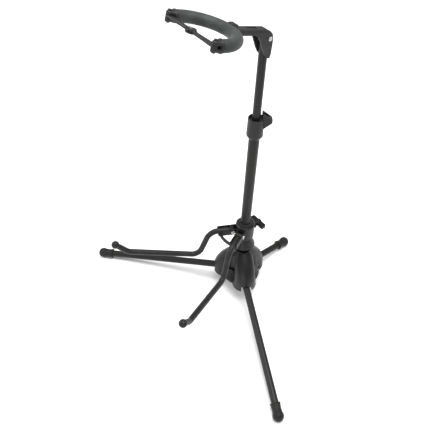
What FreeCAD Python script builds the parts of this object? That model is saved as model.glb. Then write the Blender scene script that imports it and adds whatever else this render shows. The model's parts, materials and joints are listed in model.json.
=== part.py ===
import FreeCAD, Part
import math
import os
from FreeCAD import Placement, Rotation, Vector

# Folding tripod stand for a guitar.  Lengths in millimetres, angles in degrees.
# Row frame: +Z up, the floor at Z = 0, the origin on the floor under the middle of the
# rear foot.  The stand faces -Y, the rear leg points to +Y, and +X is on the right of
# someone who stands behind it.

# ---- stance ---------------------------------------------------------------
column_lean = 5.25        # the column leans back over the rear leg
column_turn = -6.0        # head and support arms are turned on the column axis
leg_droop = 9.3           # each leg axis falls this much below the hub plane
front_leg_spread = 122.4  # from the rear leg to each front leg, about the column
front_leg_length = 360.0  # from the column axis to the centre of the foot's ball

# ---- tubes ----------------------------------------------------------------
lower_tube_od = 22.0
lower_tube_wall = 1.5
upper_tube_od = 16.0
upper_tube_wall = 1.2
leg_tube_od = 16.0
leg_tube_wall = 1.2
lower_tube_bottom = -9.0
lower_tube_top = 412.0
upper_tube_bottom = 185.0
upper_tube_top = 576.0

# ---- fits -----------------------------------------------------------------
running = 0.05            # radial clearance of a shaft that turns or slides
part_gap = 0.4            # clearance between moving faces

# ---- hub ------------------------------------------------------------------
hub_top = 66.0
hub_bottom = -17.0
hub_crown_radius = 18.0
hub_skirt_radius = 44.0
lobe_width = 46.0
lobe_top_half = 15.0
lobe_flare = 5.0          # how much wider each side is at the open lower edge
lobe_reach = 65.0
flare_top = 24.0
roof_power = 1.8
hood_sections = 9
hood_in_crown = 2.0       # the top of each hood ends this far inside the crown
hood_below_top = 0.5
valley_radius = 10.0      # grooves between the hoods
valley_out = 35.0
slot_width = 26.0
slot_start = 19.0
end_wall_inside = 57.0
leg_pivot_radius = 33.0
leg_pin_diameter = 6.0
knuckle_radius = 11.0
knuckle_tail = 51.0
tube_bolt_diameter = 8.0

# ---- feet -----------------------------------------------------------------
foot_radius = 12.0
foot_flat = 0.5           # height of the flat worn on the ball where it stands
foot_sleeve_radius = 10.6
foot_sleeve_length = 26.0
foot_lip = 0.9
foot_lip_length = 3.0
tube_inset = 6.0          # from the tube's end to the centre of the foot's ball

# ---- height clamp -----------------------------------------------------------
collar_bottom = 381.0
collar_top = 427.0
collar_radius = 16.4
ear_turn = 145.0          # the ear's direction, from the front, about the column
ear_width = 14.5
ear_reach = 31.0
button_width = 7.6
button_travel = 2.0
spring_wire = 0.7
spring_radius = 2.0
spring_turns = 4
spring_seat = 5.5

# ---- arm bracket ------------------------------------------------------------
bracket_bottom = 82.0
bracket_top = 148.0
bracket_radius = 21.0
bracket_bell_radius = 26.0
bracket_neck = 16.6
liner_wall = 2.0
holder_angle = 26.0
holder_height = 132.0
holder_reach = 62.0
holder_wall = 2.0
brace_radius = 60.0
brace_section = 4.5
stud_diameter = 6.0
stud_height = 127.0
knob_reach = 34.0
knob_depth = 11.0
knob_span = 42.0

# ---- support arms -----------------------------------------------------------
arm_core_od = 8.0
arm_sleeve_od = 12.8
arm_pivot_radius = 30.0
arm_pin_diameter = 5.0
arm_knee_out = 80.0
arm_low_out = 104.0
arm_low_height = 62.0
arm_far_out = 262.0
arm_far_height = 101.0
arm_tip_out = 288.0
arm_tip_height = 127.0
arm_tip_radius = 8.8

# ---- head -------------------------------------------------------------------
head_pitch = 15.2         # the head's arm rises this much from the hub plane
head_pivot_height = 591.0
head_pivot_back = 2.0
head_arm_height = 601.7   # where the yoke's plane crosses the column axis
head_width = 22.0
head_arm_up = 4.6
head_arm_down = 5.0
head_arm_reach = 70.0
head_shoulder = 5.2
cheek_wall = 2.7
head_pin_diameter = 6.0

# ---- yoke -------------------------------------------------------------------
yoke_half_width = 58.5
yoke_base_out = 83.5
yoke_arm_length = 5.5
yoke_core_od = 8.0
foam_od = 21.0
cap_length = 5.0
cap_radius = 11.0
stem_diameter = 8.0
boss_width = 13.0
gate_thickness = 5.0
gate_root_width = 11.0
gate_end_width = 6.5
gate_boss_radius = 8.0
gate_pin_diameter = 4.0

os.makedirs("parts", exist_ok=True)


# ---- frames -----------------------------------------------------------------
def leg_drop(length, azimuth):
    """Height that a leg of this length falls below the point where the axes meet."""
    lean = math.radians(column_lean)
    droop = math.radians(leg_droop)
    rise = math.cos(droop) * math.cos(math.radians(azimuth)) * math.sin(lean)
    return length * (math.sin(droop) * math.cos(lean) - rise)


front_azimuth = 180.0 - front_leg_spread
hub_height = foot_radius - foot_flat + leg_drop(front_leg_length, front_azimuth)
rear_leg_length = leg_drop(front_leg_length, front_azimuth) / leg_drop(1.0, 180.0)

rear_foot_out = rear_leg_length * math.cos(math.radians(leg_droop + column_lean))

hub_centre = Vector(0, -rear_foot_out, hub_height)
hub_place = Placement(hub_centre, Rotation(Vector(1, 0, 0), -column_lean))
column_place = hub_place.multiply(Placement(Vector(), Rotation(Vector(0, 0, 1), column_turn)))


def turned(azimuth):
    """Placement about the column axis: 0 faces -Y, positive towards +X."""
    return Placement(Vector(), Rotation(Vector(0, 0, 1), azimuth))


def leg_place(azimuth):
    """Frame of a leg: origin where the axes meet, -Y along the leg, +Z up."""
    droop = Placement(Vector(), Rotation(Vector(1, 0, 0), leg_droop))
    return hub_place.multiply(turned(azimuth)).multiply(droop)


def placed(shape, place):
    """A copy of the shape moved by a placement."""
    copy = shape.copy()
    copy.Placement = place.multiply(copy.Placement)
    return copy


def export(name, shape, place):
    """Write one node in the row frame."""
    placed(shape, place).exportStep("parts/" + name + ".step")


# ---- shape helpers ----------------------------------------------------------
def cylinder(radius, start, end):
    """Solid cylinder between two points."""
    return Part.makeCylinder(radius, (end - start).Length, start, end - start)


def along_z(radius, low, high):
    return cylinder(radius, Vector(0, 0, low), Vector(0, 0, high))


def ring(outer, inner, low, high):
    """Tube along Z."""
    return along_z(outer, low, high).cut(along_z(inner, low - 1, high + 1))


def along_x(radius, half, y, z):
    """Cylinder across X, centred on X = 0."""
    return cylinder(radius, Vector(-half, y, z), Vector(half, y, z))


def block(x_low, x_high, y_low, y_high, z_low, z_high):
    size = Vector(x_high - x_low, y_high - y_low, z_high - z_low)
    return Part.makeBox(size.x, size.y, size.z, Vector(x_low, y_low, z_low))


def plate_x(points, half):
    """Closed outline of (y, z) points, filled and given a thickness across X."""
    corners = [Vector(-half, y, z) for y, z in points]
    wire = Part.makePolygon(corners + corners[:1])
    return Part.Face(wire).extrude(Vector(2 * half, 0, 0))


def revolved(points):
    """Closed outline of (radius, z) points turned about Z."""
    corners = [Vector(r, 0, z) for r, z in points]
    wire = Part.makePolygon(corners + corners[:1])
    return Part.Face(wire).revolve(Vector(), Vector(0, 0, 1), 360)


def rounded_path(points, radii):
    """Wire of straight runs joined by tangent arcs, one radius per inner point."""
    edges = []
    start = points[0]
    for before, corner, after, radius in zip(points, points[1:], points[2:], radii):
        back = (before - corner).normalize()
        ahead = (after - corner).normalize()
        half = back.getAngle(ahead) / 2
        reach = radius / math.tan(half)
        first = corner + back * reach
        last = corner + ahead * reach
        middle_way = (back + ahead).normalize()
        middle = corner + middle_way * (radius / math.sin(half) - radius)
        edges.append(Part.LineSegment(start, first).toShape())
        edges.append(Part.Arc(first, middle, last).toShape())
        start = last
    edges.append(Part.LineSegment(start, points[-1]).toShape())
    return Part.Wire(edges)


def swept(path, radius):
    """Round bar along a path."""
    start = path.Edges[0].valueAt(path.Edges[0].FirstParameter)
    heading = path.Edges[0].tangentAt(path.Edges[0].FirstParameter)
    section = Part.Wire(Part.makeCircle(radius, start, heading))
    return path.makePipeShell([section], True, True)


def edges_where(shape, test):
    return [edge for edge in shape.Edges if test(edge)]


# ---- hub housing ------------------------------------------------------------
def hood_section(height):
    """Outline of a hood at one height: straight sides and a round outer end.

    The roof comes in along a power curve to the crown, the sides come in a little near
    the top, and they flare out towards the open lower edge.
    """
    rise = max(height, 0.0) / hub_top
    crown = hub_crown_radius - hood_in_crown
    reach = crown + (lobe_reach - crown) * (1 - rise ** roof_power)
    half = lobe_width / 2 - (lobe_width / 2 - lobe_top_half) * rise ** 4
    lower = max(flare_top - height, 0.0) / (flare_top - hub_bottom)
    half += lobe_flare * lower ** 2
    end_y = -(reach - half)
    inner = [Vector(half, 0, height), Vector(-half, 0, height)]
    outer = [Vector(-half, end_y, height), Vector(half, end_y, height)]
    tip = Vector(0, -reach, height)
    return Part.Wire([Part.LineSegment(inner[0], inner[1]).toShape(),
                      Part.LineSegment(inner[1], outer[0]).toShape(),
                      Part.Arc(outer[0], tip, outer[1]).toShape(),
                      Part.LineSegment(outer[1], inner[0]).toShape()])


def lobe_blank():
    """One hood of the hub, as a smooth skin through its level outlines.

    Its top lies inside the crown, a little below the crown's own top.
    """
    step = (hub_top - hood_below_top - hub_bottom) / (hood_sections - 1)
    heights = [hub_bottom + step * k for k in range(hood_sections)]
    return Part.makeLoft([hood_section(height) for height in heights], True, False)


def leg_cavity():
    """Space under a hood for the knuckle, and for the leg as it folds down."""
    half = slot_width / 2
    pivot_z = -leg_pivot_radius * math.tan(math.radians(leg_droop))
    roof = pivot_z + knuckle_radius + 1.5
    room = block(-half, half, -end_wall_inside, -slot_start, hub_bottom - 1, roof)
    droop = Placement(Vector(), Rotation(Vector(1, 0, 0), leg_droop))
    top = leg_tube_od / 2 + part_gap
    path = placed(block(-half, half, -2 * lobe_reach, -slot_start, -60, top), droop)
    return room.fuse(path)


def hub_housing():
    waist = [(0, hub_bottom), (hub_skirt_radius, hub_bottom), (hub_skirt_radius, hub_bottom + 5),
             (0.74 * hub_skirt_radius, 4), (0.55 * hub_skirt_radius, 24),
             (hub_crown_radius, 48), (hub_crown_radius, hub_top), (0, hub_top)]
    body = revolved(waist)
    azimuths = [-front_azimuth, front_azimuth, 180.0]
    for azimuth in azimuths:
        body = body.fuse(placed(lobe_blank(), turned(azimuth)))
    for azimuth in (0.0, 90.0 + front_azimuth / 2, -90.0 - front_azimuth / 2):
        groove = along_z(valley_radius, 8, hub_top + 1)
        groove.translate(Vector(0, -valley_out, 0))
        body = body.cut(placed(groove, turned(azimuth)))
    pivot_z = -leg_pivot_radius * math.tan(math.radians(leg_droop))
    for azimuth in azimuths:
        pin_hole = along_x(leg_pin_diameter / 2, lobe_width, -leg_pivot_radius, pivot_z)
        head_hole = pin_head(-1, lobe_width / 2 - 1.0, 4, pivot_z)
        nut_hole = pin_head(1, lobe_width / 2 - 1.0, 4, pivot_z)
        cut = leg_cavity().fuse([pin_hole, head_hole, nut_hole])
        body = body.cut(placed(cut, turned(azimuth)))
    body = body.cut(along_z(lower_tube_od / 2, lower_tube_bottom, hub_top + 1))
    body = body.cut(along_z(tube_bolt_diameter / 2, hub_bottom - 1, hub_top))
    return body


def pin_head(side, start, length, pivot_z, radius=5.0):
    """Round head of a leg pin, outwards from start on one side."""
    low = Vector(side * start, -leg_pivot_radius, pivot_z)
    return cylinder(radius, low, low + Vector(side * length, 0, 0))


def leg_pins():
    """Three pins, each with a head at one end and a riveted end at the other."""
    pivot_z = -leg_pivot_radius * math.tan(math.radians(leg_droop))
    pins = []
    for azimuth in (-front_azimuth, front_azimuth, 180.0):
        seat = lobe_width / 2 - 1.0
        pin = along_x(leg_pin_diameter / 2, seat, -leg_pivot_radius, pivot_z)
        pin = pin.fuse([pin_head(-1, seat, 1.8, pivot_z), pin_head(1, seat, 1.8, pivot_z)])
        pins.append(placed(pin, turned(azimuth)))
    return Part.makeCompound(pins)


def tube_bolt():
    head = along_z(7.0, hub_bottom - 5.5, hub_bottom)
    socket = Part.makeCylinder(3.0, 3.0, Vector(0, 0, hub_bottom - 5.5))
    shank = along_z(tube_bolt_diameter / 2, hub_bottom, 14)
    return head.fuse(shank).cut(socket)


def tube_plug():
    """Threaded plug that the bolt draws down inside the lower tube."""
    radius = lower_tube_od / 2 - lower_tube_wall
    return ring(radius, tube_bolt_diameter / 2, lower_tube_bottom, 18)


# ---- legs -------------------------------------------------------------------
def leg_pieces(length):
    """Knuckle, tube and foot of one leg, in the leg's own frame."""
    half = slot_width / 2 - part_gap
    bore = leg_pin_diameter / 2 + running
    inside = leg_tube_od / 2 - leg_tube_wall
    pivot_y = -leg_pivot_radius / math.cos(math.radians(leg_droop))
    eye = along_x(knuckle_radius, half, pivot_y, 0)
    reach = leg_tube_od / 2 - 0.6
    tail = block(-reach, reach, -knuckle_tail + 4, pivot_y, -reach, reach)
    spigot = cylinder(inside, Vector(0, -knuckle_tail - 16, 0), Vector(0, -knuckle_tail + 6, 0))
    knuckle = eye.fuse([tail, spigot]).cut(along_x(bore, lobe_width, pivot_y, 0))
    tube_end = Vector(0, -(length - tube_inset), 0)
    tube_start = Vector(0, -knuckle_tail + 4, 0)
    tube = cylinder(leg_tube_od / 2, tube_start, tube_end)
    tube = tube.cut(cylinder(inside, tube_start, tube_end))
    return knuckle, tube, leg_foot(length)


def leg_foot(length):
    """Rubber foot: a sleeve with a lip over the tube's end, closed by a ball."""
    start = length - foot_sleeve_length
    bore = leg_tube_od / 2
    lip = foot_sleeve_radius + foot_lip
    meet = math.sqrt(foot_radius ** 2 - foot_sleeve_radius ** 2)
    outline = [(0, length - tube_inset), (bore, length - tube_inset), (bore, start), (lip, start),
               (lip, start + foot_lip_length), (foot_sleeve_radius, start + foot_lip_length + foot_lip),
               (foot_sleeve_radius, length - meet)]
    corners = [Vector(radius, 0, z) for radius, z in outline]
    ball = Part.Arc(corners[-1], Vector(foot_radius, 0, length), Vector(0, 0, length + foot_radius))
    edges = [Part.LineSegment(a, b).toShape() for a, b in zip(corners, corners[1:])]
    edges += [ball.toShape(), Part.LineSegment(Vector(0, 0, length + foot_radius), corners[0]).toShape()]
    foot = Part.Face(Part.Wire(edges)).revolve(Vector(), Vector(0, 0, 1), 360)
    foot.rotate(Vector(), Vector(0, 0, 1), 30)
    foot.rotate(Vector(), Vector(1, 0, 0), 90)
    return foot


def make_legs():
    legs = (("left", -front_azimuth, front_leg_length),
            ("right", front_azimuth, front_leg_length),
            ("rear", 180.0, rear_leg_length))
    below_floor = block(-900, 900, -900, 900, -50, 0)
    for name, azimuth, length in legs:
        knuckle, tube, foot = leg_pieces(length)
        place = leg_place(azimuth)
        export("leg_knuckle_" + name, knuckle, place)
        export("leg_tube_" + name, tube, place)
        placed(foot, place).cut(below_floor).exportStep("parts/foot_" + name + ".step")


# ---- column -----------------------------------------------------------------
def lower_tube():
    inner = lower_tube_od / 2 - lower_tube_wall
    return ring(lower_tube_od / 2, inner, lower_tube_bottom, lower_tube_top)


def upper_tube():
    inner = upper_tube_od / 2 - upper_tube_wall
    return ring(upper_tube_od / 2, inner, upper_tube_bottom, upper_tube_top)


def guide_bush():
    """Bush on the foot of the upper tube, which slides in the lower tube."""
    outer = lower_tube_od / 2 - lower_tube_wall - running
    return ring(outer, upper_tube_od / 2, upper_tube_bottom, upper_tube_bottom + 24)


def collar_bush():
    """Split bush in the clamp collar that grips the upper tube."""
    bush = ring(lower_tube_od / 2, upper_tube_od / 2 + running, lower_tube_top, collar_top - 5)
    slit = block(-0.8, 0.8, -lower_tube_od, 0, lower_tube_top - 1, collar_top)
    return bush.cut(slit)


pocket_inner = 13.4
pocket_outer = 25.0


def clamp_collar():
    """Moulded collar on the lower tube, with an ear that holds the release button."""
    r = collar_radius
    body = revolved([(0, collar_bottom), (r - 4.5, collar_bottom), (r, collar_bottom + 7),
                     (r - 0.6, collar_top - 1.2), (r - 1.6, collar_top), (0, collar_top)])
    ear = plate_x([(-6, collar_top + 12), (-12, collar_top + 12), (-ear_reach, collar_top - 2),
                   (-ear_reach, collar_top - 8), (-r + 1, collar_top - 21),
                   (-6, collar_top - 21)], ear_width / 2)

    def upright(edge):
        box = edge.BoundBox
        return box.YMax < -ear_reach + 1 and box.ZLength > 5

    ear = ear.makeFillet(2.5, edges_where(ear, upright))
    pocket_half = button_width / 2 + part_gap
    pocket = block(-pocket_half, pocket_half, -pocket_outer, -pocket_inner,
                   collar_top - 10, collar_top + 20)
    body = body.fuse(placed(ear, turned(ear_turn)))
    body = body.cut(placed(pocket, turned(ear_turn)))
    recess = revolved([(0, collar_top - 5), (lower_tube_od / 2 + 0.6, collar_top - 5),
                       (r - 2.8, collar_top), (r - 2.8, collar_top + 12), (0, collar_top + 12)])
    body = body.cut(recess)
    return body.cut(along_z(lower_tube_od / 2, collar_bottom - 1, collar_top))


def lock_button():
    """Button in the ear's pocket; it is pushed towards the tube to free the height."""
    half = button_width / 2
    inner = -pocket_inner - part_gap - button_travel
    outer = -pocket_outer + part_gap
    body = block(-half, half, outer, inner, collar_top - 9.6, collar_top - 0.5)
    nose = block(-half, half, outer, outer + 3.0, collar_top - 3, collar_top + 2.2)
    body = body.fuse(nose)
    start = Vector(0, inner + 1, collar_top - 5)
    return body.cut(cylinder(spring_radius + spring_wire, start, start - Vector(0, spring_seat, 0)))


def lock_spring():
    """Coil spring, as short as the pushed button leaves it, in the button's blind hole."""
    length = part_gap + spring_seat - 1.3
    pitch = (length - spring_wire) / spring_turns
    helix = Part.makeHelix(pitch, length - spring_wire, spring_radius)
    start = Vector(spring_radius, 0, 0)
    section = Part.Wire(Part.makeCircle(spring_wire / 2, start, Vector(0, 1, 0)))
    coil = Part.Wire(helix).makePipeShell([section], True, True)
    coil.rotate(Vector(), Vector(1, 0, 0), 90)
    coil.translate(Vector(0, -pocket_inner - spring_wire / 2 - 0.05, collar_top - 5))
    return coil


# ---- arm bracket ------------------------------------------------------------
liner_inner = lower_tube_od / 2 + running
liner_outer = liner_inner + liner_wall
holder_inner = arm_sleeve_od / 2 + part_gap
holder_outer = holder_inner + holder_wall
holder_floor = holder_height - arm_sleeve_od / 2 - part_gap


def bracket_liner():
    """Sleeve that slides on the lower tube and carries the bracket."""
    sleeve = ring(liner_outer, liner_inner, bracket_bottom + 14, bracket_top - 3)
    lip_low = ring(liner_outer + 2.4, liner_inner, bracket_bottom + 11.2, bracket_bottom + 13.6)
    lip_high = ring(liner_outer + 2.4, liner_inner, bracket_top + 0.4, bracket_top + 2.4)
    neck = ring(liner_outer, liner_inner, bracket_bottom + 13, bracket_top + 1)
    return sleeve.fuse([lip_low, lip_high, neck]).removeSplitter()


def arm_bracket():
    """Collar with a bell foot, two channels for the arms and a curved brace."""
    low = bracket_bottom
    r = bracket_radius
    bell = bracket_bell_radius
    body = revolved([(0, low), (bell - 1.2, low), (bell, low + 1.6), (bell - 1.6, low + 6),
                     (bracket_neck, low + 23), (bracket_neck, low + 25), (r, low + 30),
                     (r, bracket_top - 2.5),
                     (r - 2.5, bracket_top), (0, bracket_top)])
    inside = revolved([(0, low - 1), (bell - 3.4, low - 1), (bell - 4.6, low + 5),
                       (liner_outer + 3, low + 14), (0, low + 14)])
    channel_out = []
    channel_in = []
    for side in (-1, 1):
        turn = turned(side * holder_angle)
        outer = block(-holder_outer, holder_outer, -holder_reach, -liner_outer - 2,
                      holder_floor - holder_wall, holder_height + arm_sleeve_od / 2)
        inner = block(-holder_inner, holder_inner, -holder_reach - 5, -r + 0.4,
                      holder_floor, holder_height + arm_sleeve_od)
        hole = along_x(arm_pin_diameter / 2, 20, -arm_pivot_radius, holder_height)
        channel_out.append(placed(outer, turn))
        channel_in.append(placed(inner.fuse(hole), turn))
    brace_low = holder_floor - holder_wall
    brace = ring(brace_radius, brace_radius - brace_section, brace_low, brace_low + 6.5)
    sector = plate_z([(0, 0), wedge_point(-holder_angle), wedge_point(holder_angle)],
                     brace_low - 1, brace_low + 8)
    boss = cylinder(8.5, Vector(0, liner_outer + 2, stud_height), Vector(0, 27.5, stud_height))
    body = body.fuse(channel_out + [brace.common(sector), boss])
    body = body.cut(channel_in + [inside])
    body = body.cut(along_z(liner_outer + running, low - 1, bracket_top + 1))
    stud_hole = cylinder(stud_diameter / 2 + running, Vector(0, 5, stud_height),
                         Vector(0, 40, stud_height))
    nut_pocket = knob_nut_blank(0.0)
    return body.cut([stud_hole, nut_pocket])


def wedge_point(angle):
    reach = 2 * brace_radius
    return (reach * math.sin(math.radians(angle)), -reach * math.cos(math.radians(angle)))


def plate_z(points, low, high):
    """Closed outline of (x, y) points, filled from one height to another."""
    corners = [Vector(x, y, low) for x, y in points]
    wire = Part.makePolygon(corners + corners[:1])
    return Part.Face(wire).extrude(Vector(0, 0, high - low))


def knob_nut_blank(extra):
    """Hexagon of the nut that is pressed into the bracket's rear boss."""
    corners = []
    for k in range(6):
        angle = math.radians(60 * k)
        corners.append(Vector(5.8 * math.cos(angle), 24 + extra,
                              stud_height + 5.8 * math.sin(angle)))
    wire = Part.makePolygon(corners + corners[:1])
    return Part.Face(wire).extrude(Vector(0, 3.5, 0))


def knob_nut():
    bore = cylinder(stud_diameter / 2 + running, Vector(0, 5, stud_height),
                    Vector(0, 40, stud_height))
    return knob_nut_blank(0.0).cut(bore)


def knob_stud():
    start = Vector(0, liner_outer + part_gap, stud_height)
    return cylinder(stud_diameter / 2, start, Vector(0, knob_reach + 7, stud_height))


def wing_knob():
    """Knob with two flat wings, moulded on the stud."""
    core = cylinder(6.5, Vector(0, knob_reach - 4.5, stud_height),
                    Vector(0, knob_reach + knob_depth, stud_height))
    span = knob_span / 2
    near = knob_reach
    far = knob_reach + knob_depth
    outline = [Vector(-span, near, 0), Vector(-span + 2, near - 1.5, 0), Vector(0, near - 1, 0),
               Vector(span - 2, near - 1.5, 0), Vector(span, near, 0), Vector(span, far - 2, 0),
               Vector(span - 2.5, far, 0), Vector(-span + 2.5, far, 0), Vector(-span, far - 2, 0)]
    wing = Part.Face(Part.makePolygon(outline + outline[:1])).extrude(Vector(0, 0, 9))
    wing.translate(Vector(0, 0, stud_height - 4.5))
    long_edges = edges_where(wing, lambda edge: edge.BoundBox.ZLength < 0.1)
    wing = wing.makeFillet(1.4, long_edges)
    bore = cylinder(stud_diameter / 2, Vector(0, 0, stud_height),
                    Vector(0, knob_reach + 7, stud_height))
    return core.fuse(wing).cut(bore)


# ---- support arms -----------------------------------------------------------
def arm_path(start_out):
    """Centre line of a support arm in its upright plane, from start_out outwards."""
    corners = [(start_out, holder_height), (arm_knee_out, holder_height),
               (arm_low_out, arm_low_height), (arm_far_out, arm_far_height),
               (arm_tip_out, arm_tip_height)]
    points = [Vector(0, -out, height) for out, height in corners]
    return rounded_path(points, (28.0, 20.0, 22.0))


def arm_pieces():
    """Core rod with its eye, rubber sleeve, round tip and pivot pin of one arm."""
    pivot = (-arm_pivot_radius, holder_height)
    eye = along_x(arm_sleeve_od / 2, holder_inner - part_gap / 2, *pivot)
    core = swept(arm_path(arm_pivot_radius + 3), arm_core_od / 2)
    core = core.fuse(eye).cut(along_x(arm_pin_diameter / 2 + running, 20, *pivot))
    sleeve = swept(arm_path(arm_pivot_radius + 9), arm_sleeve_od / 2)
    sleeve = sleeve.cut(swept(arm_path(arm_pivot_radius + 3), arm_core_od / 2))
    tip_centre = Vector(0, -arm_tip_out, arm_tip_height)
    ball = Part.makeSphere(arm_tip_radius, tip_centre)
    path = arm_path(arm_pivot_radius + 3)
    tip = ball.cut(swept(path, arm_sleeve_od / 2))
    pin = along_x(arm_pin_diameter / 2, holder_outer, *pivot)
    for side in (-1, 1):
        seat = Vector(side * holder_outer, *pivot)
        pin = pin.fuse(cylinder(4.2, seat, seat + Vector(side * 2.2, 0, 0)))
    return core, sleeve, tip, pin


def make_arms():
    core, sleeve, tip, pin = arm_pieces()
    for name, side in (("left", -1), ("right", 1)):
        place = column_place.multiply(turned(side * holder_angle))
        export("arm_core_" + name, core, place)
        export("arm_sleeve_" + name, sleeve, place)
        export("arm_tip_" + name, tip, place)
        export("arm_pin_" + name, pin, place)


# ---- head -------------------------------------------------------------------
cheek_gap = head_width / 2 - cheek_wall


def head_plug():
    """Plug in the top of the upper tube, with a round eye for the head's pivot."""
    inner = upper_tube_od / 2 - upper_tube_wall
    eye_radius = upper_tube_od / 2 - 0.4
    spigot = along_z(inner, upper_tube_top - 22, upper_tube_top + 2)
    collar = along_z(upper_tube_od / 2, upper_tube_top, upper_tube_top + 2.5)
    half = cheek_gap - part_gap
    eye = along_x(eye_radius - 0.4, half, head_pivot_back - 0.4, head_pivot_height)
    neck = block(-half, half, head_pivot_back - eye_radius, head_pivot_back + eye_radius - 0.8,
                 upper_tube_top + 2, head_pivot_height)
    neck = neck.common(along_z(upper_tube_od / 2, upper_tube_top, head_pivot_height + 1))
    body = spigot.fuse([collar, eye, neck])
    bore = along_x(head_pin_diameter / 2 + running, 20, head_pivot_back, head_pivot_height)
    return body.cut(bore)


def arm_point(out, up):
    """Point of the head's side view from its place in the yoke's plane."""
    pitch = math.radians(head_pitch)
    y = -(out * math.cos(pitch) - up * math.sin(pitch))
    z = head_arm_height + out * math.sin(pitch) + up * math.cos(pitch)
    return y, z


def head_bracket():
    """Moulded head: two cheeks over the tube's plug, and an arm to the yoke."""
    top_rear = arm_point(5, head_arm_up)
    top_front = arm_point(head_arm_reach, head_arm_up)
    low_front = arm_point(head_arm_reach, -head_arm_down)
    low_rear = arm_point(33, -head_arm_down)
    zero = head_pivot_height
    outline = [top_front, low_front, low_rear, (-24, zero + 9), (-19, zero + 1),
               (-15.3, zero - 8), (-10.4, zero - 20.5), (-5.8, zero - 29.5),
               (-1, zero - 35.5), (5.6, zero - 38), (8.2, zero - 31), (9.6, zero - 14),
               (9.7, zero - 2), (8, zero + 6), (3.2, zero + 12.4), top_rear]
    body = plate_x(outline, head_width / 2)

    def shoulder(edge):
        box = edge.BoundBox
        runs_along = box.YMin < top_front[0] + 1 and box.YMax > top_rear[0] - 1
        return runs_along and box.ZMin > top_rear[1] - 1 and box.XLength < 0.1

    body = body.makeFillet(head_shoulder, edges_where(body, shoulder))
    far = -upper_tube_od / 2 - 40
    gap = block(-cheek_gap, cheek_gap, far, 30, zero - 60, zero)
    folded = upper_tube_od / 2 + head_pivot_back + 2 * part_gap
    gap = gap.fuse(block(-cheek_gap, cheek_gap, far, 0, zero - 1, zero + folded))
    eye_room = upper_tube_od / 2 + 2 * part_gap
    gap = gap.fuse(along_x(eye_room, cheek_gap, head_pivot_back - 0.4, zero))
    body = body.cut(gap)
    bore = along_x(head_pin_diameter / 2, 20, head_pivot_back, zero)
    stem_low = arm_vector(head_arm_reach - 22, 0)
    stem = cylinder(stem_diameter / 2 + running, stem_low, arm_vector(head_arm_reach + 5, 0))
    top = arm_point(0, 0)
    recess = block(-4.2, 4.2, -46, -24, head_arm_up - 1.4, head_arm_up + 5)
    slots = [block(-4.4, -2.4, -59, -53.5, head_arm_up - 1.6, head_arm_up + 5),
             block(-4.4, -2.4, -51, -48, head_arm_up - 1.6, head_arm_up + 5)]
    tilt = Placement(Vector(0, top[0], top[1]), Rotation(Vector(1, 0, 0), -head_pitch))
    marks = [placed(mark, tilt) for mark in [recess] + slots]
    return body.cut([bore, stem] + marks)


def arm_vector(out, up):
    y, z = arm_point(out, up)
    return Vector(0, y, z)


def head_pin():
    """Slotted screw through the cheeks, with a nut on the far side."""
    half = head_width / 2
    far_end = Vector(-half - 4.5, head_pivot_back, head_pivot_height)
    seat = Vector(half, head_pivot_back, head_pivot_height)
    pin = cylinder(head_pin_diameter / 2, far_end, seat)
    head = cylinder(3.9, seat, seat + Vector(2.0, 0, 0))
    slot = block(half + 1.0, half + 3, head_pivot_back - 5, head_pivot_back + 5,
                 head_pivot_height - 0.5, head_pivot_height + 0.5)
    return pin.fuse(head.cut(slot))


def head_nut():
    corners = []
    for k in range(6):
        angle = math.radians(60 * k + 30)
        corners.append(Vector(-head_width / 2, head_pivot_back + 5.5 * math.cos(angle),
                              head_pivot_height + 5.5 * math.sin(angle)))
    wire = Part.makePolygon(corners + corners[:1])
    bore = along_x(head_pin_diameter / 2, 20, head_pivot_back, head_pivot_height)
    return Part.Face(wire).extrude(Vector(-3.5, 0, 0)).cut(bore)


# ---- yoke: modelled flat, -Y outwards in its own plane ------------------------
yoke_origin = arm_vector(0, 0)
yoke_tilt = Placement(yoke_origin, Rotation(Vector(1, 0, 0), -head_pitch))
yoke_place = column_place.multiply(yoke_tilt)
yoke_tip_out = yoke_base_out + yoke_half_width + yoke_arm_length


def yoke_path(extra):
    """U-shaped centre line from tip to tip, its ends longer by extra."""
    side = yoke_half_width
    end = -(yoke_tip_out + extra)
    centre = -(yoke_base_out + side)
    base = Vector(0, -yoke_base_out, 0)
    arms = [Part.LineSegment(Vector(-side, end, 0), Vector(-side, centre, 0)).toShape(),
            Part.Arc(Vector(-side, centre, 0), base, Vector(side, centre, 0)).toShape(),
            Part.LineSegment(Vector(side, centre, 0), Vector(side, end, 0)).toShape()]
    return Part.Wire(arms)


def yoke_core():
    """Bent steel rod inside the foam, with a tongue that the boss is moulded on."""
    return swept(yoke_path(cap_length - 2), yoke_core_od / 2)


def yoke_foam():
    tube = swept(yoke_path(0), foam_od / 2)
    tube = tube.cut(swept(yoke_path(2), yoke_core_od / 2))
    return tube.cut(yoke_boss_solid())


def yoke_boss_solid():
    """Saddle behind the base of the foam, as tall as its rim stands proud."""
    half = boss_width / 2
    saddle = block(-half, half, -yoke_base_out, -head_arm_reach - part_gap, -9.5, 12)
    corners = edges_where(saddle, lambda edge: edge.BoundBox.XLength > half)
    saddle = saddle.makeFillet(3.0, corners)
    hollow = cylinder(foam_od / 2 - 1.0, Vector(-50, -yoke_base_out, 0),
                      Vector(50, -yoke_base_out, 0))
    neck = cylinder(5.2, Vector(0, -yoke_base_out, 0), Vector(0, -head_arm_reach - 1.5, 0))
    return saddle.cut(hollow).fuse(neck)


def yoke_boss():
    return yoke_boss_solid().cut(swept(yoke_path(2), yoke_core_od / 2)).cut(yoke_stem())


def yoke_stem():
    start = Vector(0, -head_arm_reach + 21, 0)
    return cylinder(stem_diameter / 2, start, Vector(0, -head_arm_reach - 5, 0))


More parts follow.
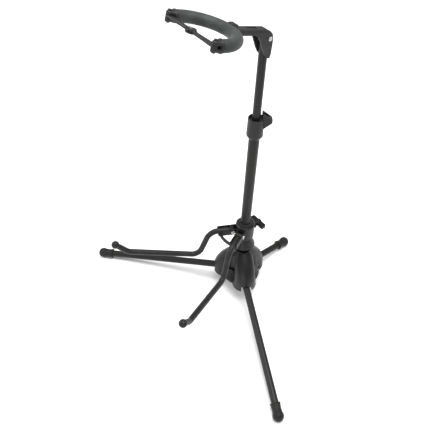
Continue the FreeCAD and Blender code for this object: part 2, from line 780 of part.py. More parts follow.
def end_cap(side):
    """Moulded cap on one tip of the yoke, with two ears for the gate's pin."""
    x = side * yoke_half_width
    low = -(yoke_tip_out + cap_length)
    rim = cylinder(cap_radius + 0.6, Vector(x, -yoke_tip_out, 0), Vector(x, -yoke_tip_out - 2.2, 0))
    body = cylinder(cap_radius - 0.6, Vector(x, -yoke_tip_out, 0), Vector(x, low, 0))
    eye = cylinder(gate_root_width / 2, Vector(x, gate_axis_y, -cap_radius + 2),
                   Vector(x, gate_axis_y, cap_radius - 2))
    neck = block(x - gate_root_width / 2, x + gate_root_width / 2, gate_axis_y, low + 1,
                 -cap_radius + 2, cap_radius - 2)
    room = math.hypot(gate_root_width / 2, gate_root_width / 2) + part_gap
    clear = cylinder(room, Vector(x, gate_axis_y, -gate_thickness / 2 - part_gap),
                     Vector(x, gate_axis_y, gate_thickness / 2 + part_gap))
    pin = cylinder(gate_pin_diameter / 2, Vector(x, gate_axis_y, -30), Vector(x, gate_axis_y, 30))
    core = cylinder(yoke_core_od / 2, Vector(x, -yoke_tip_out + 5, 0),
                    Vector(x, -yoke_tip_out - cap_length + 2, 0))
    return body.fuse([rim, eye, neck]).cut([clear, pin, core])


gate_axis_y = -(yoke_tip_out + cap_length + gate_root_width / 2 + 1.4)
gate_boss_top = gate_thickness / 2 + 1.4
gate_stud_out = 1.0       # how far past the middle each round end sits
gate_lap_gap = 0.3        # between the two round ends


def gate_arm(side):
    """Tapered arm from one cap to the middle; the two round ends lie over each other."""
    x = side * yoke_half_width
    half = gate_thickness / 2
    reach = yoke_half_width - gate_stud_out
    root = gate_root_width / 2
    end = gate_end_width / 2
    outline = [Vector(0, root, -half), Vector(-reach, end, -half),
               Vector(-reach, -end, -half), Vector(0, -root, -half)]
    arm = Part.Face(Part.makePolygon(outline + outline[:1])).extrude(Vector(0, 0, 2 * half))
    eye = along_z(root, -half, half)
    low = gate_lap_gap / 2 if side > 0 else -gate_boss_top
    high = gate_boss_top if side > 0 else -gate_lap_gap / 2
    boss = along_z(gate_boss_radius, low, high)
    boss.translate(Vector(-reach, 0, 0))
    away_low = -cap_radius if side > 0 else -gate_lap_gap / 2
    away_high = gate_lap_gap / 2 if side > 0 else cap_radius
    away = along_z(gate_boss_radius + 0.6, away_low, away_high)
    away.translate(Vector(gate_stud_out - reach, 0, 0))
    body = arm.fuse(eye).cut(away).fuse(boss)
    body = body.cut(along_z(gate_pin_diameter / 2 + running, -20, 20))
    if side < 0:
        body = body.mirror(Vector(), Vector(1, 0, 0))
    body.translate(Vector(x, gate_axis_y, 0))
    return body


def gate_pin(side):
    x = side * yoke_half_width
    half = cap_radius - 2
    pin = cylinder(gate_pin_diameter / 2, Vector(x, gate_axis_y, -half),
                   Vector(x, gate_axis_y, half))
    head = cylinder(3.4, Vector(x, gate_axis_y, half), Vector(x, gate_axis_y, half + 1.4))
    tail = cylinder(3.0, Vector(x, gate_axis_y, -half - 1.0), Vector(x, gate_axis_y, -half))
    return pin.fuse([head, tail])


def gate_rivet():
    """Bright stud on the upper round end of the gate."""
    low = Vector(gate_stud_out, gate_axis_y, gate_boss_top)
    return cylinder(3.0, low, low + Vector(0, 0, 1.2))


# ---- build ------------------------------------------------------------------
export("hub_housing", hub_housing(), hub_place)
export("leg_pins", leg_pins(), hub_place)
export("tube_bolt", tube_bolt(), hub_place)
export("tube_plug", tube_plug(), hub_place)
make_legs()

export("lower_tube", lower_tube(), column_place)
export("clamp_collar", clamp_collar(), column_place)
export("collar_bush", collar_bush(), column_place)
ear_place = column_place.multiply(turned(ear_turn))
export("lock_button", lock_button(), ear_place)
export("lock_spring", lock_spring(), ear_place)
export("upper_tube", upper_tube(), column_place)
export("guide_bush", guide_bush(), column_place)

export("bracket_liner", bracket_liner(), column_place)
export("arm_bracket", arm_bracket(), column_place)
export("knob_nut", knob_nut(), column_place)
export("knob_stud", knob_stud(), column_place)
export("wing_knob", wing_knob(), column_place)
make_arms()

export("head_plug", head_plug(), column_place)
export("head_bracket", head_bracket(), column_place)
export("head_pin", head_pin(), column_place)
export("head_nut", head_nut(), column_place)

export("yoke_stem", yoke_stem(), yoke_place)
export("yoke_boss", yoke_boss(), yoke_place)
export("yoke_core", yoke_core(), yoke_place)
export("yoke_foam", yoke_foam(), yoke_place)
for word, direction in (("left", -1), ("right", 1)):
    export("yoke_cap_" + word, end_cap(direction), yoke_place)
    export("gate_arm_" + word, gate_arm(direction), yoke_place)
    export("gate_pin_" + word, gate_pin(direction), yoke_place)
export("gate_rivet", gate_rivet(), yoke_place)
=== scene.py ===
import bpy
import json
import math
import numpy as np
from mathutils import Matrix, Vector


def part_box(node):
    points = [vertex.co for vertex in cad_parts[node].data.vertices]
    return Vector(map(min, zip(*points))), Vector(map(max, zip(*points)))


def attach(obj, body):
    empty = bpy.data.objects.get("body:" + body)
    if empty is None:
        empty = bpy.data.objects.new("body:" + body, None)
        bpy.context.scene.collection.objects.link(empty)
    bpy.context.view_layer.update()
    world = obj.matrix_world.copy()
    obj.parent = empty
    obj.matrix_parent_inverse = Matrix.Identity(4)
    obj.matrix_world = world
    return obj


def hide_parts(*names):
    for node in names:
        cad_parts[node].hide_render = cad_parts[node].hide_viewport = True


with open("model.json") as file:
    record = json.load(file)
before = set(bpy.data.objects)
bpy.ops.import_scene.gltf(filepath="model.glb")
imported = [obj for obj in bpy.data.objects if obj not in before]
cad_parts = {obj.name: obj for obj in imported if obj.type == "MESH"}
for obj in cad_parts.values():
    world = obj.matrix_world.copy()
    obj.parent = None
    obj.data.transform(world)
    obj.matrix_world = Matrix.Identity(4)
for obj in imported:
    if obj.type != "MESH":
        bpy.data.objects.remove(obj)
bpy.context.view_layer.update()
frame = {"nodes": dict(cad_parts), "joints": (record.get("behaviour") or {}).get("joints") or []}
nodes = frame["nodes"]


# ---- camera -----------------------------------------------------------------
# Held in front of the stand, to its right, at chest height, and looking down at it.
# The camera is a little off level.
VIEW_AZIMUTH = math.radians(48.339)
VIEW_ELEVATION = math.radians(47.731)
VIEW_ROLL = math.radians(-2.555)
VIEW_AIM = Vector((-0.03767, -0.19843, 0.23857))
VIEW_DISTANCE = 1.24420
VIEW_LENS = 48.26
VIEW_NEAREST = 0.01

back = Vector((math.sin(VIEW_AZIMUTH) * math.cos(VIEW_ELEVATION),
               -math.cos(VIEW_AZIMUTH) * math.cos(VIEW_ELEVATION),
               math.sin(VIEW_ELEVATION)))
level = Vector((math.cos(VIEW_AZIMUTH), math.sin(VIEW_AZIMUTH), 0.0))
upward = back.cross(level)
right = level * math.cos(VIEW_ROLL) + upward * math.sin(VIEW_ROLL)
above = upward * math.cos(VIEW_ROLL) - level * math.sin(VIEW_ROLL)
lens = bpy.data.cameras.new("viewer")
lens.lens = VIEW_LENS
lens.clip_start = VIEW_NEAREST
viewer = bpy.data.objects.new("viewer", lens)
turn = Matrix((right, above, back)).transposed().to_4x4()
viewer.matrix_world = Matrix.Translation(VIEW_AIM + back * VIEW_DISTANCE) @ turn
bpy.context.scene.collection.objects.link(viewer)
bpy.context.scene.camera = viewer


# ---- floor and light --------------------------------------------------------
# A sheet of pale card on the ground, lit by a wide soft box overhead, a second one
# beyond the stand's left side, a small one low in front, and an even white room.
FLOOR_SIZE = 12.0
FLOOR_COLOUR = (0.93, 0.93, 0.93, 1.0)
FLOOR_ROUGHNESS = 0.9
FLOOR_SPECULAR = 0.1
ROOM_COLOUR = (1.0, 1.0, 1.0, 1.0)
ROOM_STRENGTH = 0.42
SOFT_BOXES = (            # name, place, point looked at, side in metres, power in watts
    ("overhead", (0.3, 0.05, 2.4), (0.0, -0.15, 0.3), 1.6, 82.0),
    ("left_side", (-1.6, -1.45, 1.3), (0.0, -0.15, 0.3), 1.1, 26.0),
    ("front_low", (0.9, -1.85, 0.5), (0.0, -0.15, 0.15), 0.8, 8.0),
)


def soft_box(name, place, aim, side, power):
    """Square area light of that side, at place and turned to look at aim."""
    light = bpy.data.lights.new(name, "AREA")
    light.size = side
    light.energy = power
    lamp = bpy.data.objects.new(name, light)
    lamp.location = place
    lamp.rotation_euler = (Vector(aim) - Vector(place)).to_track_quat("-Z", "Y").to_euler()
    bpy.context.scene.collection.objects.link(lamp)


for box in SOFT_BOXES:
    soft_box(*box)

room = bpy.data.worlds.new("room")
room.use_nodes = True
room_light = room.node_tree.nodes["Background"]
room_light.inputs["Color"].default_value = ROOM_COLOUR
room_light.inputs["Strength"].default_value = ROOM_STRENGTH
bpy.context.scene.world = room
bpy.context.scene.view_settings.view_transform = "Standard"

half_floor = FLOOR_SIZE / 2
card = bpy.data.meshes.new("floor")
card.from_pydata([(-half_floor, -half_floor, 0.0), (half_floor, -half_floor, 0.0),
                  (half_floor, half_floor, 0.0), (-half_floor, half_floor, 0.0)],
                 [], [(0, 1, 2, 3)])
floor = bpy.data.objects.new("floor", card)
bpy.context.scene.collection.objects.link(floor)
card_white = bpy.data.materials.new("card_white")
card_white.use_nodes = True
card_shader = card_white.node_tree.nodes["Principled BSDF"]
card_shader.inputs["Base Color"].default_value = FLOOR_COLOUR
card_shader.inputs["Roughness"].default_value = FLOOR_ROUGHNESS
card_shader.inputs["Specular IOR Level"].default_value = FLOOR_SPECULAR
card.materials.append(card_white)


# ---- hub: housing, leg pins, bolt and plug ------------------------------------
# The housing is one nylon moulding with three hoods over the legs.  Its skin is a
# fine spark-eroded grain, a little polished where hands lift the stand.  The pins and
# the bolt under it are zinc plated steel.
class Number:
    """A value that changes over a surface; arithmetic on it adds Math nodes."""

    def __init__(self, finish, socket):
        self.finish = finish
        self.socket = socket

    def __add__(self, other):
        return self.finish.maths("ADD", self, other)

    def __radd__(self, other):
        return self.finish.maths("ADD", other, self)

    def __sub__(self, other):
        return self.finish.maths("SUBTRACT", self, other)

    def __mul__(self, other):
        return self.finish.maths("MULTIPLY", self, other)


class Finish:
    """One material: its node tree, and the shader that everything feeds."""

    def __init__(self, name, **fixed):
        self.material = bpy.data.materials.new(name)
        self.material.use_nodes = True
        self.tree = self.material.node_tree
        self.shader = self.tree.nodes["Principled BSDF"]
        for socket, value in fixed.items():
            self.shader.inputs[socket.replace("_", " ")].default_value = value
        self.place = self.node("ShaderNodeTexCoord", {}, {}).outputs["Object"]

    def node(self, kind, settings, sockets):
        """A node of that kind, with its settings and then its values or links."""
        made = self.tree.nodes.new(kind)
        for key, value in settings.items():
            setattr(made, key, value)
        for key, value in sockets.items():
            if isinstance(value, Number):
                self.tree.links.new(value.socket, made.inputs[key])
            elif isinstance(value, bpy.types.NodeSocket):
                self.tree.links.new(value, made.inputs[key])
            else:
                made.inputs[key].default_value = value
        return made

    def maths(self, operation, first, second):
        """The two values joined by one Math node."""
        made = self.node("ShaderNodeMath", {"operation": operation}, {0: first, 1: second})
        return Number(self, made.outputs[0])

    def stretched(self, scale):
        """Object coordinates times a scale of their own along each axis."""
        made = self.node("ShaderNodeMapping", {}, {"Vector": self.place, "Scale": scale})
        return made.outputs[0]

    def noise(self, scale, detail, where=None):
        """Cloudy noise from 0 to 1; scale is in cycles per metre."""
        made = self.node("ShaderNodeTexNoise", {},
                         {"Vector": where or self.place, "Scale": scale, "Detail": detail})
        return Number(self, made.outputs[0])

    def cells(self, scale):
        """Distance to the nearest of scattered points; scale is in cells per metre."""
        made = self.node("ShaderNodeTexVoronoi", {}, {"Vector": self.place, "Scale": scale})
        return Number(self, made.outputs[0])

    def step(self, value, low, high):
        """0 below low, 1 above high, and smooth between them."""
        made = self.node("ShaderNodeMapRange", {"interpolation_type": "SMOOTHSTEP"},
                         {"Value": value, "From Min": low, "From Max": high})
        return Number(self, made.outputs[0])

    def blend(self, amount, first, second):
        """Colour that goes from first to second as amount goes from 0 to 1."""
        factor, colour_a, colour_b, result = 0, 6, 7, 2     # the Mix node's colour sockets
        made = self.node("ShaderNodeMix", {"data_type": "RGBA"},
                         {factor: amount, colour_a: first, colour_b: second})
        return made.outputs[result]

    def feed(self, colour, roughness, height, depth, strength):
        """Link colour and roughness, and a bump whose height of 1 stands depth metres proud."""
        self.tree.links.new(colour, self.shader.inputs["Base Color"])
        self.tree.links.new(roughness.socket, self.shader.inputs["Roughness"])
        bump = self.node("ShaderNodeBump", {},
                         {"Height": height, "Distance": depth, "Strength": strength})
        self.tree.links.new(bump.outputs[0], self.shader.inputs["Normal"])
        return self.material


def grey(level, warmth=0.0):
    """Neutral colour of that level; warmth moves it from blue towards yellow."""
    return (level * (1 + warmth), level, level * (1 - warmth), 1.0)


def wear(material, *names):
    """Give these CAD nodes the material."""
    for name in names:
        for place in nodes[name].material_slots:
            place.material = material


def moulded_nylon(name, level, gloss):
    """Dark nylon: colour = level, lighter in rubbed patches; height = fine grain + sink marks."""
    finish = Finish(name, Specular_IOR_Level=0.26)
    grain = finish.noise(scale=2600.0, detail=3.0)
    cloud = finish.noise(scale=38.0, detail=4.0)
    drawn = finish.noise(scale=190.0, detail=6.0, where=finish.stretched((1.0, 1.0, 0.35)))
    scuff = finish.step(drawn, low=0.60, high=0.78)
    rubbed = finish.step(cloud, low=0.48, high=0.75)
    colour = finish.blend(rubbed * 0.6 + scuff * 0.35, grey(level), grey(level * 1.75, 0.03))
    roughness = gloss + grain * 0.10 + scuff * 0.12 - rubbed * 0.05
    height = grain * 0.6 + cloud * 1.5
    return finish.feed(colour, roughness, height, depth=0.00010, strength=0.55)


def plated_steel(name, level, turned=False):
    """Zinc plated steel: fine scratches one way, and a cloudy grey passivation."""
    finish = Finish(name, Metallic=1.0)
    way = (1.0, 1.0, 14.0) if turned else (9.0, 1.0, 1.0)
    scratch = finish.noise(scale=420.0, detail=5.0, where=finish.stretched(way))
    cloud = finish.noise(scale=160.0, detail=3.0)
    colour = finish.blend(cloud, grey(level, 0.02), grey(level * 0.72, 0.03))
    roughness = 0.18 + scratch * 0.16 + cloud * 0.08
    return finish.feed(colour, roughness, scratch, depth=0.00004, strength=0.5)


hub_nylon = moulded_nylon("hub_nylon", level=0.0075, gloss=0.36)
bright_steel = plated_steel("bright_steel", level=0.62)
inner_nylon = moulded_nylon("inner_nylon", level=0.020, gloss=0.45)
wear(hub_nylon, "hub_housing")
wear(bright_steel, "leg_pins", "tube_bolt")
wear(inner_nylon, "tube_plug")


# ---- legs: knuckles, tubes and feet -----------------------------------------
# Each leg is a drawn steel tube in satin black powder coat, pressed on a moulded
# knuckle that turns in the hood.  A moulded rubber foot is pushed over its end.
def powder_coat(name, level):
    """Powder coat on a tube: orange peel, dust, and a few rubs."""
    finish = Finish(name, Specular_IOR_Level=0.20)
    peel = finish.noise(scale=1100.0, detail=1.0)
    dust = finish.noise(scale=3200.0, detail=2.0)
    cloud = finish.noise(scale=26.0, detail=3.0)
    rub = finish.step(finish.noise(scale=70.0, detail=5.0), low=0.62, high=0.80)
    colour = finish.blend(cloud * 0.5 + rub * 0.3, grey(level, 0.02), grey(level * 1.6, 0.05))
    roughness = 0.34 + dust * 0.08 + rub * 0.10
    return finish.feed(colour, roughness, peel * 0.7 + dust * 0.3, depth=0.00008, strength=0.5)


def black_rubber(name, level, gloss):
    """Moulded rubber: a soft bloom in patches, fine pores, and dust in low places."""
    finish = Finish(name, Specular_IOR_Level=0.20, Sheen_Weight=0.03, Sheen_Roughness=0.5)
    pores = finish.cells(1500.0)
    bloom = finish.noise(scale=55.0, detail=5.0)
    dust = finish.noise(scale=700.0, detail=3.0)
    patches = finish.step(bloom, low=0.40, high=0.75)
    colour = finish.blend(patches * 0.7 + dust * 0.2, grey(level), grey(level * 1.9, 0.04))
    roughness = gloss + dust * 0.12 + bloom * 0.06
    return finish.feed(colour, roughness, pores * 0.4 + dust * 0.6, depth=0.00010, strength=0.5)


def corners_of(node):
    """All the vertices of a CAD node, one row each, in metres."""
    mesh = nodes[node].data
    flat = np.empty(3 * len(mesh.vertices))
    mesh.vertices.foreach_get("co", flat)
    return flat.reshape(-1, 3)


def long_axis(node):
    """Middle, direction and half length of a straight bar: the direction of most spread."""
    points = corners_of(node)
    spread = points - points.mean(0)
    way = np.linalg.eigh(spread.T @ spread)[1][:, -1]
    along = spread @ way
    middle = points.mean(0) + way * (along.max() + along.min()) / 2
    return middle, way, (along.max() - along.min()) / 2


def shell(points, base):
    """Vertices and faces of one closed grid: rows run along the piece, columns round it.

    Column j joins j + 1 and the last joins the first; each end is closed by a fan on
    the mean of its row.  Faces are turned outwards if the signed volume is negative.
    """
    rows, columns = points.shape[:2]
    index = np.arange(rows * columns).reshape(rows, columns)
    ahead = np.roll(index, -1, axis=1)
    quads = np.stack([index[:-1], ahead[:-1], ahead[1:], index[1:]], axis=-1).reshape(-1, 4)
    first, last = rows * columns, rows * columns + 1
    first_fan = np.stack([np.full(columns, first), ahead[0], index[0]], axis=-1)
    last_fan = np.stack([np.full(columns, last), index[-1], ahead[-1]], axis=-1)
    vertices = np.concatenate([points.reshape(-1, 3), [points[0].mean(0), points[-1].mean(0)]])
    fans = np.concatenate([first_fan, last_fan])
    triangles = np.concatenate([quads[:, [0, 1, 2]], quads[:, [0, 2, 3]], fans])
    a, b, c = (vertices[triangles[:, k]] - points[0].mean(0) for k in range(3))
    if np.einsum("ij,ij->", a, np.cross(b, c)) < 0:
        quads, fans = quads[:, ::-1], fans[:, ::-1]
    return vertices, (quads + base).tolist() + (fans + base).tolist()


def skin(name, grids, material, body):
    """Smooth mesh made of one closed shell for each grid of points."""
    vertices, faces = [], []
    for points in grids:
        corners, sides = shell(points, sum(map(len, vertices)))
        vertices.append(corners)
        faces += sides
    mesh = bpy.data.meshes.new(name)
    mesh.from_pydata(np.concatenate(vertices).tolist(), [], faces)
    mesh.shade_smooth()
    mesh.materials.append(material)
    piece = bpy.data.objects.new(name, mesh)
    bpy.context.scene.collection.objects.link(piece)
    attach(piece, body)
    return piece


def square_to(way):
    """Two unit vectors at right angles to way and to each other."""
    side = np.cross(way, (0.0, 0.0, 1.0))
    side = side / np.linalg.norm(side)
    return side, np.cross(side, way)


def turned_on(start, way, profile):
    """Surface of revolution: start + z way + r (cos a, sin a), for (r, z) in profile."""
    side, other = square_to(way)
    angle = np.linspace(0, 2 * math.pi, ROUND, endpoint=False)
    circle = np.cos(angle)[:, None] * side + np.sin(angle)[:, None] * other
    radius, reach = profile[:, 0, None, None], profile[:, 1, None, None]
    return start + reach * way + radius * circle


tube_coat = powder_coat("tube_coat", level=0.0105)
foot_rubber = black_rubber("foot_rubber", level=0.0085, gloss=0.48)
LEGS = ("left", "right", "rear")
wear(inner_nylon, *["leg_knuckle_" + leg for leg in LEGS])
wear(tube_coat, *["leg_tube_" + leg for leg in LEGS])
ROUND = 72                # columns round a turned piece
FOOT_BALL = 0.0120        # radii of the ball, the sleeve, its lip and its mouth
FOOT_SLEEVE = 0.0106
FOOT_LIP = 0.0115
FOOT_MOUTH = 0.0081
FOOT_LIP_ROUND = 0.0014
FOOT_WAIST = 0.0007       # how far the sleeve is drawn in
FOOT_LENGTH = 0.0260      # from the mouth to the middle of the ball
FOOT_POLE = 0.01          # angle left open at the ball's pole
TUBE_INSET = 0.0060       # from the tube's end to the middle of the ball


def foot_profile():
    """(r, z) from the sleeve's mouth, over a rolled lip and a waist, to the ball's pole."""
    roll = np.linspace(-math.pi / 2, math.pi / 2, 12)
    lip = np.stack([FOOT_LIP - FOOT_LIP_ROUND + FOOT_LIP_ROUND * np.cos(roll),
                    FOOT_LIP_ROUND + FOOT_LIP_ROUND * np.sin(roll)], axis=-1)
    way = np.linspace(0.0, 1.0, 26)[1:]
    waist = FOOT_SLEEVE - FOOT_WAIST * np.sin(math.pi * way) ** 2
    meet = FOOT_LENGTH - math.sqrt(FOOT_BALL ** 2 - FOOT_SLEEVE ** 2)
    sleeve = np.stack([waist, 2 * FOOT_LIP_ROUND + way * (meet - 2 * FOOT_LIP_ROUND)], axis=-1)
    start = math.acos(FOOT_SLEEVE / FOOT_BALL)
    sweep = np.linspace(-start, math.pi / 2 - FOOT_POLE, 30)[1:]
    ball = np.stack([FOOT_BALL * np.cos(sweep), FOOT_LENGTH + FOOT_BALL * np.sin(sweep)], axis=-1)
    mouth = np.array([[FOOT_MOUTH, 0.0]])
    return np.concatenate([mouth, lip, sleeve, ball])


hub_middle = np.array(sum(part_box("hub_housing"), Vector())) / 2
for leg in LEGS:
    middle, way, half = long_axis("leg_tube_" + leg)
    way = way * np.sign(way @ (middle - hub_middle))
    mouth = middle + way * (half + TUBE_INSET - FOOT_LENGTH)
    foot = turned_on(mouth, way, foot_profile())
    foot[..., 2] = np.maximum(foot[..., 2], 0.0)
    boot = skin("rubber_foot_" + leg, [foot], foot_rubber, "leg_" + leg)
    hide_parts("foot_" + leg)


# ---- column and height clamp --------------------------------------------------
# Two tubes slide in one another.  A moulded collar on the lower one holds a split
# bush, and its ear holds the button that frees the height, with a small spring.
collar_nylon = moulded_nylon("collar_nylon", level=0.013, gloss=0.40)
button_nylon = moulded_nylon("button_nylon", level=0.009, gloss=0.34)
turned_steel = plated_steel("turned_steel", level=0.50, turned=True)
wear(tube_coat, "lower_tube", "upper_tube")
wear(inner_nylon, "guide_bush", "collar_bush")
wear(collar_nylon, "clamp_collar")
wear(button_nylon, "lock_button")
wear(turned_steel, "lock_spring")


# ---- arm bracket and wing knob -------------------------------------------------
# The bracket is a thick moulding that turns on a slim liner.  The wing knob has a
# steel stud moulded in, which runs through a pressed hexagon nut.
bracket_nylon = moulded_nylon("bracket_nylon", level=0.012, gloss=0.38)
knob_nylon = moulded_nylon("knob_nylon", level=0.006, gloss=0.30)
wear(bracket_nylon, "arm_bracket")
wear(inner_nylon, "bracket_liner")
wear(bright_steel, "knob_nut", "knob_stud", "arm_pin_left", "arm_pin_right")
wear(knob_nylon, "wing_knob")


# ---- support arms ----------------------------------------------------------------
# Each arm is a bent steel rod in a smooth rubber sleeve, closed by a round rubber tip.
# The eye at its other end turns on a pin in a channel of the bracket.
sleeve_rubber = black_rubber("sleeve_rubber", level=0.011, gloss=0.33)
SIDES = ("left", "right")
wear(tube_coat, *["arm_core_" + side for side in SIDES])
wear(sleeve_rubber, *["arm_sleeve_" + side for side in SIDES])
wear(sleeve_rubber, *["arm_tip_" + side for side in SIDES])


# ---- head ------------------------------------------------------------------------
# The moulded head straddles a plug in the upper tube and folds on a slotted screw.
# The screw is held by a nut on the far side; both are zinc plated.
head_nylon = moulded_nylon("head_nylon", level=0.016, gloss=0.42)
wear(head_nylon, "head_bracket")
wear(inner_nylon, "head_plug")
wear(bright_steel, "head_pin", "head_nut")


# ---- yoke: rod, saddle, stem and foam ------------------------------------------------
# A bent steel rod in a thick tube of closed-cell foam, on a moulded saddle with a stem.
# The foam was pushed on straight, so it is a little puckered along the inner bend.
joints = {joint["name"]: joint for joint in frame["joints"]}
gate_left = np.array(joints["gate_left_swing"]["pos_m"])
gate_right = np.array(joints["gate_right_swing"]["pos_m"])
across = (gate_right - gate_left) / np.linalg.norm(gate_right - gate_left)
raised = np.array(joints["gate_right_swing"]["axis"])
outward = np.array(joints["yoke_swivel"]["axis"])
gate_middle = (gate_left + gate_right) / 2
YOKE_HALF = float(np.linalg.norm(gate_right - gate_left) / 2)
FOAM_RADIUS = 0.0105
FOAM_TO_GATE = 0.0119     # from the foam's end to the gate's line
FOAM_STRAIGHT = 0.0055    # straight stretch at each end
FOAM_EDGE = 0.0016        # round edge of the foam's cut ends
EDGE_BITE = 0.75          # how far round that edge goes, as a share of its square
PUCKER = 0.00022
RIPPLES = 6               # short waves along the foam, of these lengths over 2 pi
RIPPLE_LENGTH = 0.0031
RIPPLE_STEP = 0.0007
RIPPLE_WANDER = 0.8       # how far a ripple runs askew round the foam
RIPPLE_ALL = 0.15         # ripple height everywhere, and more on the inner bend
RIPPLE_INNER = 1.2
BEND_ONSET = 3.0          # how soon the inner ripples reach full height
SWELLS = 4                # long waves, of these lengths over 2 pi
SWELL_LENGTH = 0.021
SWELL_STEP = 0.006
SWELL_HEIGHT = 0.7
PALE_FOAM = (0.040, 0.046, 0.043, 1.0)
DARK_FOAM = (0.018, 0.021, 0.020, 1.0)


def yoke_line(way):
    """Centre line of the U in (across, outward) metres: straight, half circle, straight.

    Beside its two coordinates come its outward normal and the length run so far.
    """
    arc = math.pi * YOKE_HALF
    reach = way * (arc + 2 * FOAM_STRAIGHT)
    bend = np.clip(reach - FOAM_STRAIGHT, 0.0, arc) / YOKE_HALF
    before = np.maximum(FOAM_STRAIGHT - reach, 0.0)
    after = np.maximum(reach - FOAM_STRAIGHT - arc, 0.0)
    x = -YOKE_HALF * np.cos(bend)
    y = -FOAM_TO_GATE - FOAM_STRAIGHT - YOKE_HALF * np.sin(bend) + before + after
    return x, y, np.stack([-np.cos(bend), -np.sin(bend)], axis=-1), reach


def foam_surface(rows, columns):
    """Circles of radius R - puckers - edge, square to the U and centred on it.

    The puckers are a sum of sines along the U, tallest on the inner side of the bend,
    plus a few longer sines; the edge is a quarter round at each cut end.
    """
    way = np.linspace(0.0, 1.0, rows)
    x, y, normal, reach = yoke_line(way)
    total = reach[-1]
    centre = gate_middle + x[:, None] * across + y[:, None] * outward
    out = normal[:, :1] * across + normal[:, 1:] * outward
    angle = np.linspace(0, 2 * math.pi, columns, endpoint=False)[None, :]
    along = reach[:, None]
    phases = np.random.default_rng(7).uniform(0, 2 * math.pi, 12)
    waves = sum(np.sin(along / (RIPPLE_LENGTH + RIPPLE_STEP * k) + phases[k]
                       + RIPPLE_WANDER * np.sin(angle + phases[-1 - k]))
                for k in range(RIPPLES)) / RIPPLES
    inner = np.clip(-np.cos(angle), 0.0, 1.0) ** 2
    bent = np.clip(np.sin(math.pi * along / total) * BEND_ONSET, 0.0, 1.0)
    slack = sum(np.sin(along / (SWELL_LENGTH + SWELL_STEP * k) + angle * (k % 2)
                       + phases[RIPPLES + k])
                for k in range(SWELLS)) / SWELLS
    ripple_height = RIPPLE_ALL + RIPPLE_INNER * inner * bent
    radius = FOAM_RADIUS - PUCKER - PUCKER * (waves * ripple_height + SWELL_HEIGHT * slack)
    end = np.minimum(along, total - along)
    edge = np.clip(1.0 - end / FOAM_EDGE, 0.0, 1.0)
    radius = radius - FOAM_EDGE * (1.0 - np.sqrt(1.0 - EDGE_BITE * edge ** 2))
    round_it = np.cos(angle)[..., None] * out[:, None] + np.sin(angle)[..., None] * raised
    return centre[:, None] + radius[..., None] * round_it


def foam_finish():
    """Closed-cell foam: small pits between the cells, coarse grain, and a paler bloom."""
    finish = Finish("grey_foam", Specular_IOR_Level=0.22, Sheen_Weight=0.10, Sheen_Roughness=0.45)
    pits = finish.cells(1400.0)
    coarse = finish.noise(scale=900.0, detail=4.0)
    tone = finish.step(finish.noise(scale=42.0, detail=4.0), low=0.35, high=0.70)
    colour = finish.blend(tone * 0.6 + coarse * 0.4, DARK_FOAM, PALE_FOAM)
    roughness = 0.58 + coarse * 0.14 - tone * 0.06
    return finish.feed(colour, roughness, pits * 0.5 + coarse * 0.8, depth=0.00022, strength=0.6)


foam = skin("yoke_foam_tube", [foam_surface(rows=420, columns=ROUND)], foam_finish(), "yoke")
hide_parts("yoke_foam")
wear(head_nylon, "yoke_boss")
wear(tube_coat, "yoke_core")
wear(turned_steel, "yoke_stem")


# ---- yoke: end caps ------------------------------------------------------------------
# A moulded nylon cap is pushed on each tip of the rod.  A round flange closes the foam,
# and two ears beyond it hold the pin that a gate arm turns on.
CAP_START = -FOAM_TO_GATE     # along the outward direction, from the gate's line
CAP_FACE = -0.0069
CAP_RIM = 0.0112          # radii of the flange, the barrel and the bore
CAP_BODY = 0.0104
CAP_BORE = 0.0041
CAP_EDGE = 0.0007         # rounding of the flange, and of the barrel's lip
CAP_LIP = 0.0014
CAP_RIM_END = 0.0015      # from the start to where the flange's straight rim ends
CAP_BODY_START = 0.0024   # from the start to where the barrel begins
EAR_TOP = 0.0090
EAR_FLOOR = 0.0029        # half the slot that the gate arm turns in
EAR_ROOT = 0.0082         # half width where the ear leaves the barrel
EAR_SUNK = 0.0012         # how deep its foot lies in the barrel
EAR_FALL = 0.0006         # how far its top drops towards the tip
EAR_CURVE = 0.8           # power by which it narrows
EAR_SQUARENESS = 3.2
EYE_RADIUS = 0.0055
EYE_POLE = 0.00006        # keeps the last row off the tip


def squared(angle, power):
    """Cosine and sine of the angle, pushed out towards a square by that power."""
    c, s = np.cos(angle), np.sin(angle)
    return np.sign(c) * np.abs(c) ** (2 / power), np.sign(s) * np.abs(s) ** (2 / power)


def cap_barrel(pivot):
    """Revolved on the outward axis: a flange with rounded edges, then a barrel with a round lip."""
    bend = np.linspace(0.0, math.pi / 2, 8)
    near_edge = np.stack([CAP_RIM - CAP_EDGE + CAP_EDGE * np.sin(bend),
                          CAP_START + CAP_EDGE - CAP_EDGE * np.cos(bend)], -1)
    far_edge = np.stack([CAP_RIM - CAP_EDGE + CAP_EDGE * np.cos(bend),
                         CAP_START + CAP_RIM_END + CAP_EDGE * np.sin(bend)], -1)
    lip = np.stack([CAP_BODY - CAP_LIP + CAP_LIP * np.cos(bend),
                    CAP_FACE - CAP_LIP + CAP_LIP * np.sin(bend)], -1)
    bore_start = np.array([[CAP_BORE, CAP_START]])
    body_start = np.array([[CAP_BODY, CAP_START + CAP_BODY_START]])
    bore_end = np.array([[CAP_BORE, CAP_FACE]])
    profile = np.concatenate([bore_start, near_edge, far_edge, body_start, lip, bore_end])
    return turned_on(pivot, outward, profile)


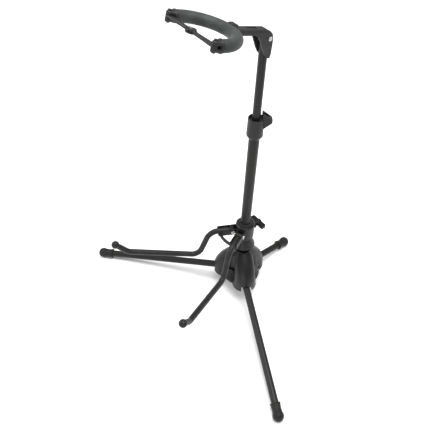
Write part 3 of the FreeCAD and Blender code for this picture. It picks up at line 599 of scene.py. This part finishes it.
def cap_ear(pivot, up):
    """One ear: width narrows from the barrel to the eye, then closes in a half circle.

    The section is half a squared oval, flat on the side of the slot.
    """
    way = np.linspace(0.0, 1.0, 40)
    end = EYE_RADIUS - EYE_POLE
    reach = CAP_FACE - EAR_SUNK + way ** EAR_CURVE * (end - CAP_FACE + EAR_SUNK)
    narrow = np.clip((reach - CAP_FACE) / -CAP_FACE, 0.0, 1.0)
    width = EAR_ROOT + (EYE_RADIUS - EAR_ROOT) * narrow ** EAR_CURVE
    width = np.where(reach > 0, np.sqrt(np.maximum(EYE_RADIUS ** 2 - reach ** 2, 0.0)), width)
    angle = np.linspace(0, 2 * math.pi, 48, endpoint=False)
    x, z = squared(angle, EAR_SQUARENESS)
    top = EAR_TOP - EAR_FALL * np.clip(reach / EYE_RADIUS, 0.0, 1.0) ** 2
    height = EAR_FLOOR + np.maximum(z, 0.0) * (top[:, None] - EAR_FLOOR)
    flat = pivot + reach[:, None, None] * outward + (width[:, None] * x)[..., None] * across
    return flat + (up * height)[..., None] * raised


for side, pivot in (("left", gate_left), ("right", gate_right)):
    grids = [cap_barrel(pivot), cap_ear(pivot, 1.0), cap_ear(pivot, -1.0)]
    cap = skin("yoke_end_cap_" + side, grids, head_nylon, "yoke")
    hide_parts("yoke_cap_" + side)


# ---- gate ----------------------------------------------------------------------------
# Two tapered arms meet over the opening of the yoke, each on a pin in its end cap, and
# a bright stud marks the place where their round ends overlap.
wear(tube_coat, "gate_pin_left", "gate_pin_right")
wear(bright_steel, "gate_rivet")
gate_nylon = moulded_nylon("gate_nylon", level=0.013, gloss=0.36)
BLADE_HALF = 0.0025       # half its thickness
BLADE_ROOT = 0.0055       # half widths at the pin and at the end of the taper
BLADE_END = 0.00325
BLADE_TAPERED = 0.62      # share of its reach that tapers
BLADE_SQUARENESS = 5.0
BLADE_POLE = 0.00005      # keeps the first and last rows off the tips
BOSS_RADIUS = 0.0080
BOSS_TOP = 0.0039
LAP = 0.00015             # from the middle of the lap to each round end
STEP_BACK = 0.0102        # from the stud back to where the step starts
STEP_LENGTH = 0.0012
STUD_OUT = 0.0010         # from the yoke's middle to the stud
blade_reach = YOKE_HALF - STUD_OUT


def gate_blade(pivot, inward, up):
    """Arm towards the middle: half width is the largest of eye circle, taper and round end.

    The section is a squared oval.  Its underside and roof step over to one side of the
    lap just before the round end.
    """
    way = (1 - np.cos(np.linspace(0.0, math.pi, 150))) / 2
    x = -BLADE_ROOT + BLADE_POLE + way * (blade_reach + BOSS_RADIUS + BLADE_ROOT - 2 * BLADE_POLE)
    eye = np.sqrt(np.maximum(BLADE_ROOT ** 2 - x ** 2, 0.0))
    tapered = np.clip(x / (BLADE_TAPERED * blade_reach), 0.0, 1.0)
    taper = BLADE_ROOT + (BLADE_END - BLADE_ROOT) * tapered
    taper = np.where((x > 0) & (x < blade_reach), taper, 0.0)
    boss = np.sqrt(np.maximum(BOSS_RADIUS ** 2 - (x - blade_reach) ** 2, 0.0))
    width = np.maximum(np.maximum(eye, taper), boss)
    step = np.clip((x - blade_reach + STEP_BACK) / STEP_LENGTH, 0.0, 1.0)
    step = step * step * (3 - 2 * step)
    underside = -BLADE_HALF + step * (BLADE_HALF + LAP)
    roof = BLADE_HALF + step * (BOSS_TOP - BLADE_HALF)
    angle = np.linspace(0, 2 * math.pi, 56, endpoint=False)
    c, s = squared(angle, BLADE_SQUARENESS)
    height = ((roof + underside) / 2)[:, None] + ((roof - underside) / 2)[:, None] * s
    spread = width[:, None] * c
    flat = pivot + x[:, None, None] * inward + spread[..., None] * outward
    return flat + (up * height)[..., None] * raised


for side, pivot, inward, up in (("left", gate_left, across, -1.0),
                                ("right", gate_right, -across, 1.0)):
    blade = skin("gate_blade_" + side, [gate_blade(pivot, inward, up)], gate_nylon, "gate_" + side)
    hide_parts("gate_arm_" + side)
